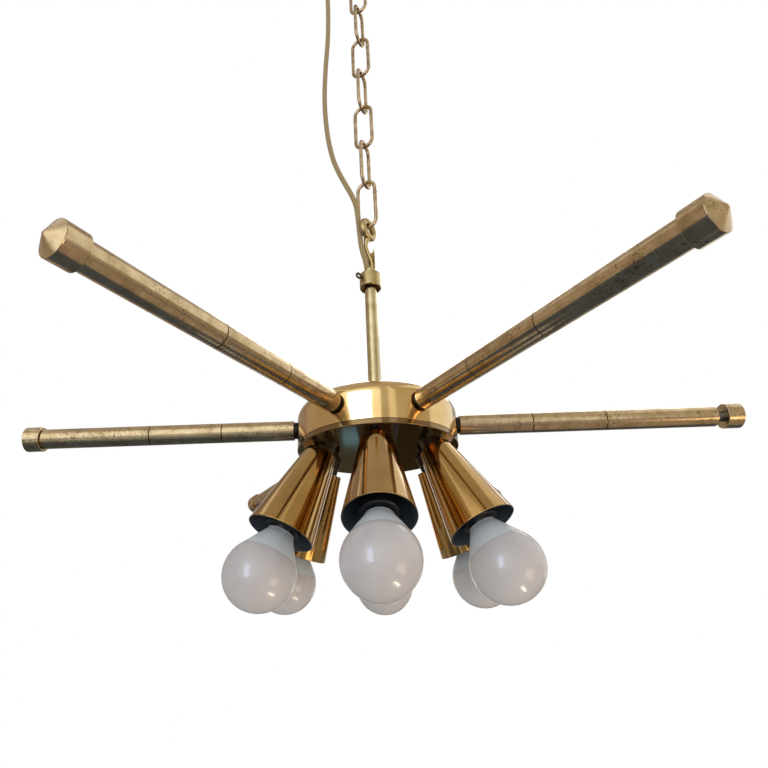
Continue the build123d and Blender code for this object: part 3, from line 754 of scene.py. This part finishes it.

# %% [markdown]
# ## The arms
# Each arm is a thin steel rod through three brass sleeves of one diameter. The sleeves' ends are just broken
# with a file, and where two meet, their little bevels are coloured dark brown as painted shade in the joint:
# the fine dark seams. At the drum a short black bush keeps the first sleeve off the wall, and the bevel there
# is bright.

# %% Arms
sleeve_ends = [(62.6, 117.1), (117.2, 172.0), (172.1, 255.0)]
rod_outline = [(48.0, 0.0), (48.0, 4.0), (263.6, 4.0), (263.6, 0.0)]
rod = lathe("arm_rods_dark", rod_outline, arm_place(0), rod_steel, 48)
stands_for(copied_round(rod, rod_steel), "pendant", "dark_steel", "arm_rods")
for n, (a, b) in enumerate(sleeve_ends):
    outline = [(a + 0.35, 7.5), (b - 0.35, 7.5), (b - 0.12, 7.38), (b, 7.15), (b, 6.0),
               (a, 6.0), (a, 7.15), (a + 0.12, 7.38)]
    # Where two sleeves meet, their bevels get the dark brass: painted shade in the joint.
    row = lathe(f"sleeves_{('inner', 'middle', 'outer')[n]}", outline, arm_place(0), aged, 64, closed=True,
                lining=(1, 6 if n == 0 else 8))
    stands_for(copied_round(row, aged, dark_brass_and_painted_shade), "pendant", "brass_aged",
               *([f"arm_sleeves_{k}" for k in range(1, 7)] if n == 0 else []))
smooth_copy("arm_end_bushes", black_steel, "pendant", "dark_steel")

# %% [markdown]
# The end caps screw onto the rods. They are a touch wider than the sleeves and end in a shallow cone. The
# right arm's cap has worked loose by a few millimetres, and the bare rod shows in the gap.

# %% End caps
loose = 5.8


def cap_outline(out):
    a, b = 255.1 + out, 267.3 + out
    return [(264.0 + out, 0.0), (264.0 + out, 4.1), (a, 4.1), (a, 8.95), (a + 0.15, 9.25), (a + 0.4, 9.35),
            (b - 0.4, 9.35), (b - 0.12, 9.22), (b, 8.95), (b + 4.2, 0.8), (b + 4.2, 0.0)]


for k in range(arm_count):
    cap = lathe(f"end_cap_{k + 1}", cap_outline(loose if k == 0 else 0.0), arm_place(k), aged, 64)
    stands_for(cap, f"arm_cap_{k + 1}", "brass_aged", f"arm_cap_{k + 1}")

# %% [markdown]
# ## Cones and holders
# The cones are spun from one sheet with a flat top, bright outside and painted slate inside. A wedge-shaped
# washer lets each lean out from the lid. Inside sits a black holder for the lamp.

# %% Cones and holders
slope = (23.1 - 11.4) / (74.0 - 8.7)     # how fast the cone opens
cone_outline = ([(8.7, 5.1), (8.7, 10.8)] + arc(9.3, 10.85, 0.6, 180, 96, 4)
                + [(73.8, 23.06), (73.95, 23.0), (74.0, 22.85), (74.0, 22.45), (73.9, 22.3),
                   (9.9, 11.4 + slope * 1.2 - 0.81), (9.9, 5.1)])
cone = lathe("cones", cone_outline, socket_place(0), cone_brass, 112, closed=True, lining=(10, 12))
stands_for(copied_round(cone, cone_brass, shade_lining), "pendant", "brass_polished",
           *[f"shade_{k}" for k in range(1, 7)])
holder_outline = [(10.0, 5.1), (10.0, 8.6), (10.4, 9.0), (26.0, 9.0), (35.0, 12.4), (70.7, 12.4), (71.5, 11.6),
                  (71.5, 7.0), (51.3, 7.0), (51.3, 0.0)]
holder = lathe("lamp_holders", holder_outline, socket_place(0), holder_black, 64)
stands_for(copied_round(holder, holder_black), "pendant", "black_plastic",
           *[f"lamp_holder_{k}" for k in range(1, 7)])
# The washers are dark brown: painted shade in the gap between the lid and the cone tops.
smooth_copy("socket_wedges", dark_brass_and_painted_shade, "pendant", "brass_tube")

# %% [markdown]
# ## Lamps
# A golf-ball lamp is three turned pieces: a nickel screw cap with its contact, a white housing that opens
# nearly as a cone, and an opal ball that sits on it with a fine step. The thread is drawn as rings of the
# right pitch and depth. The three lamps at the back are a slightly shorter kind.

# %% Lamps
ball_middle, ball_r, seam_r, shorter = 104.0, 23.4, 19.2, 5.0
thread_start, thread_step, thread_pitch, thread_r, thread_depth = 57.2, 0.35, 2.8, 6.62, 0.26
thread = [(thread_start + i * thread_step,
           thread_r + thread_depth * math.cos(2 * math.pi * i * thread_step / thread_pitch)) for i in range(41)]
screw_outline = ([(51.4, 0.0), (51.5, 1.9), (51.8, 2.3), (53.0, 2.4), (53.2, 3.0), (55.4, 5.6), (56.6, 6.5)]
                 + thread + [(71.6, 6.8), (73.0, 6.85)])


def lamp_outlines(middle):
    """Outlines of the housing and of the opal ball, for a ball whose middle stands this far out."""
    seam = middle - math.sqrt(ball_r ** 2 - seam_r ** 2)
    cone = [(74.6 + (seam - 0.3 - 74.6) * t, 9.5 + (seam_r - 0.25 - 9.5) * t ** 0.97)
            for t in [i / 12 for i in range(13)]]
    housing = ([(73.0, 6.5), (73.0, 8.8), (73.3, 9.1), (73.9, 9.15)] + cone
               + [(seam - 0.1, seam_r - 0.2), (seam, seam_r - 0.4), (seam, 17.0)])
    start = math.degrees(math.acos((seam - middle) / ball_r))
    ball = [(seam, 17.0), (seam, seam_r - 0.1)] + arc(middle, 0.0, ball_r, start - 0.4, 0, 40)
    return housing, ball


for k in range(arm_count):
    at_back = k < 3
    housing_outline, ball_outline = lamp_outlines(ball_middle - (shorter if at_back else 0))
    body = f"lamp_{k + 1}"
    screw = lathe(f"lamp_screw_{k + 1}", screw_outline, socket_place(k), nickel, 48)
    stands_for(screw, body, "white_plastic")
    housing = lathe(f"lamp_housing_{k + 1}", housing_outline, socket_place(k), housing_white, 72)
    stands_for(housing, body, "white_plastic", f"lamp_base_{k + 1}")
    ball = lathe(f"lamp_ball_{k + 1}", ball_outline, socket_place(k), opal, 72)
    stands_for(ball, body, "opal", f"lamp_globe_{k + 1}")

# %% [markdown]
# ## What stays as the solid
# Nuts, nipples and bushes inside the drum, the cones and the sleeves are plain hardware that only shows with
# the light apart. They keep their solids and get their metal.

# %% Hidden hardware
for node, metal in (("arm_seam_bushes", black_steel), ("arm_locknuts", zinc), ("socket_nipples", zinc),
                    ("socket_locknuts", zinc)):
    nodes[node].data.materials.clear()
    nodes[node].data.materials.append(metal)
    print(node, "keeps its solid, in", metal.name)

# %% [markdown]
# ## Studio
# The photograph is a cut-out on white, so the world and the floor are white wherever the camera or a mirror
# looks, and the light on the object stays plain. Polished brass shows what stands round it, so its look is
# made with cards, as a photographer does. Only mirrors see them, so none stands in the way of a view.

# %% Floor and helpers for cards
hub_point = Vector((0, 0, arm_plane / 1000))
far_up = 5     # a floor piece faces a point this high over it


def flat_stage(name, centre, size, aim, material):
    """A flat sheet that faces a point and is stage, not part of the light."""
    w, h = size[0] / 2, size[1] / 2
    mesh = bpy.data.meshes.new(name)
    mesh.from_pydata([(-w, -h, 0), (w, -h, 0), (w, h, 0), (-w, h, 0)], [], [(0, 1, 2, 3)])
    mesh.materials.append(material)
    sheet = bpy.data.objects.new(name, mesh)
    way = (Vector(aim) - Vector(centre)).normalized()
    sheet.matrix_world = Matrix.Translation(centre) @ way.to_track_quat("Z", "Y").to_matrix().to_4x4()
    bpy.context.scene.collection.objects.link(sheet)
    return sheet


def pale_floor():
    """Matt and pale, and plain white to the camera and to mirrors."""
    material, tree, surface, _ = finish("pale_floor", Roughness=0.9, Base_Color=colour("#EFEDE8"))
    ray = add(tree, "ShaderNodeLightPath")
    seen = add(tree, "ShaderNodeMath", {0: ray.outputs["Is Camera Ray"], 1: ray.outputs["Is Glossy Ray"]},
               operation="MAXIMUM")
    glow = add(tree, "ShaderNodeEmission", {"Color": (1, 1, 1, 1), "Strength": 1.0})
    mix = add(tree, "ShaderNodeMixShader", {0: seen.outputs[0], 1: surface.outputs[0], 2: glow.outputs[0]})
    end = next(n for n in tree.nodes if n.type == "OUTPUT_MATERIAL")
    tree.links.new(mix.outputs[0], end.inputs["Surface"])
    return material


def card_grey(code):
    """A card that shows its own colour, whatever light falls on it."""
    material, tree, _, _ = finish("card_" + code[1:])
    glow = add(tree, "ShaderNodeEmission", {"Color": colour(code), "Strength": 1.0})
    end = next(n for n in tree.nodes if n.type == "OUTPUT_MATERIAL")
    tree.links.new(glow.outputs[0], end.inputs["Surface"])
    material.cycles.emission_sampling = "NONE"
    return material


def mirror_card(name, centre, size, code, aim=hub_point):
    """A card that only mirrors see."""
    card = flat_stage(name, centre, size, aim, card_grey(code))
    card.visible_camera = card.visible_diffuse = card.visible_shadow = card.visible_transmission = False


flat_stage("floor", (0, 0, -2.1), (12, 12), (0, 0, far_up), pale_floor())
print("floor", round(2.1 + hub_point.z, 2), "m below the drum")

# %% [markdown]
# A slate card lies over the floor, so undersides read dark. Grey cards in a ring stand for the walls and the
# ceiling, with gaps between them that shine white: tall bright streaks on the drum. Low cards in the ring
# are what the cones show, and two brown ones behind the light darken the lid. Two lighter cards on the floor
# warm the right side and lift the left one. A small blue one behind is the cool patch that the lid mirrors.

# %% Cards
ring_radius = 2.4


def round_card(name, azimuth, height, across, tall, code):
    """A card on a ring round the drum. Azimuth is seen from above, 0 behind the light, 90 to its right."""
    spin, rise = math.radians(azimuth), math.radians(height)
    way = Vector((math.sin(spin) * math.cos(rise), math.cos(spin) * math.cos(rise), math.sin(rise)))
    size = [2 * ring_radius * math.tan(math.radians(a / 2)) for a in (across, tall)]
    mirror_card(name, hub_point + way * ring_radius, size, code)


mirror_card("card_over_floor", (0, 0, -2.05), (16, 16), "#515A6A", (0, 0, far_up))
for name, azimuth, height, across, tall, code in (
        ("card_wall_left", -93, 18, 62, 68, "#B2A598"),
        ("card_wall_far_left", -40, 18, 42, 68, "#9C8F82"),
        ("card_wall_far_right", 30, 18, 24, 68, "#A8A49C"),
        ("card_wall_right_low", 82, -12, 40, 24, "#A39A90"),
        ("card_wall_near_right", 128, 18, 48, 68, "#C6BEB0"),
        ("card_wall_near", 169, 18, 10, 68, "#C8C6C2"),
        ("card_near_low", 172, -32, 50, 40, "#AFA3A9"),
        ("card_near_low_left", -152, -27, 36, 26, "#C0C6CB"),
        ("card_floor_behind_left", -7, -19, 14, 18, "#4C4834"),
        ("card_floor_behind_right", 8, -19, 16, 18, "#352C18"),
        ("card_ceiling", -90, 86, 74, 60, "#BFB8B2")):
    round_card(name, azimuth, height, across, tall, code)
mirror_card("card_floor_right", (1.45, -0.45, -2.0), (2.1, 2.1), "#A89A8E", (1.45, -0.45, far_up))
mirror_card("card_floor_left", (-0.72, -1.1, -2.0), (0.9, 0.7), "#8A9199", (-0.72, -1.1, far_up))
mirror_card("card_lid_patch", (-0.063, 2.13, -1.413), (0.075, 0.074), "#7EABBF")

# %% [markdown]
# ### Lights
# The world lights everything evenly, and three broad lamps shape it: the room from the left front, a warm
# fill from the lower right and one from above and behind. The other four make highlights on chosen pieces
# alone, because on the arms they would burn in stripes. A blue window and its curtain's edge show on the drum
# and the canopy. A tall window gives the balls their cool gloss, and a warm bulb, low on the right, their
# small bright spot.

# %% Lights
def soft_light(name, place, size, power, tint, only=()):
    """A flat lamp that faces the drum. Where only is given, it makes highlights, on those pieces alone."""
    data = bpy.data.lights.new(name, "AREA")
    data.shape, data.size, data.size_y = "RECTANGLE", size[0], size[1]
    data.energy = power
    data.color = colour(tint)[:3]
    light = bpy.data.objects.new(name, data)
    way = (Vector(place) - hub_point).normalized()
    light.matrix_world = Matrix.Translation(place) @ way.to_track_quat("Z", "Y").to_matrix().to_4x4()
    light.visible_camera = False
    if only:
        light.visible_diffuse = False
        chosen = bpy.data.collections.new(name + "_falls_on")
        for piece in only:
            chosen.objects.link(piece)
        light.light_linking.receiver_collection = chosen
    bpy.context.scene.collection.objects.link(light)


lamp_skins = [o for o in bpy.data.objects if o.name.startswith(("lamp_ball", "lamp_housing"))]
soft_light("window", (-0.805, -2.154, -0.1), (1.02, 1.3), 29, "#9CC0FF", [cup, canopy])
soft_light("window_gloss", (-1.15, -2.04, -0.42), (0.6, 1.5), 20, "#C4D4FF", lamp_skins)
soft_light("window_curtain", (-1.384, -1.837, -0.1), (0.3, 1.3), 3.6, "#8DB5FF", [cup, canopy])
soft_light("bulb", (0.66, -0.22, -1.83), (0.5, 0.08), 4.0, "#FFEFD0", lamp_skins)
soft_light("room", (-0.9, -2.2, -0.2), (2.6, 2.4), 10.5, "#DCE8FF")
soft_light("fill", (1.5, -1.0, -1.5), (0.9, 0.7), 7, "#FFDDB8")
soft_light("back", (0.55, 1.45, 0.75), (1.6, 0.7), 6.5, "#FFFFFF")
print("lights", len(bpy.data.lights))

# %% [markdown]
# The world is plain white. It lights the pieces at about half strength, and shows at full white where the
# camera, a mirror or a clear piece looks at it.

# %% World
lighting_level, seen_level = 0.56, 1.0
world = bpy.data.worlds.new("white_room")
bpy.context.scene.world = world
world.use_nodes = True
tree = world.node_tree
shine = next(n for n in tree.nodes if n.type == "BACKGROUND")
ray = add(tree, "ShaderNodeLightPath")
seen = add(tree, "ShaderNodeMath", {0: ray.outputs["Is Camera Ray"], 1: ray.outputs["Is Glossy Ray"]},
           operation="MAXIMUM")
seen = add(tree, "ShaderNodeMath", {0: seen.outputs[0], 1: ray.outputs["Is Transmission Ray"]},
           operation="MAXIMUM")
level_now = add(tree, "ShaderNodeMapRange",
                {"Value": seen.outputs[0], "To Min": lighting_level, "To Max": seen_level})
shine.inputs["Color"].default_value = (1, 1, 1, 1)
tree.links.new(level_now.outputs[0], shine.inputs["Strength"])
bpy.context.scene.view_settings.view_transform = "Standard"
print("world lights at", lighting_level)
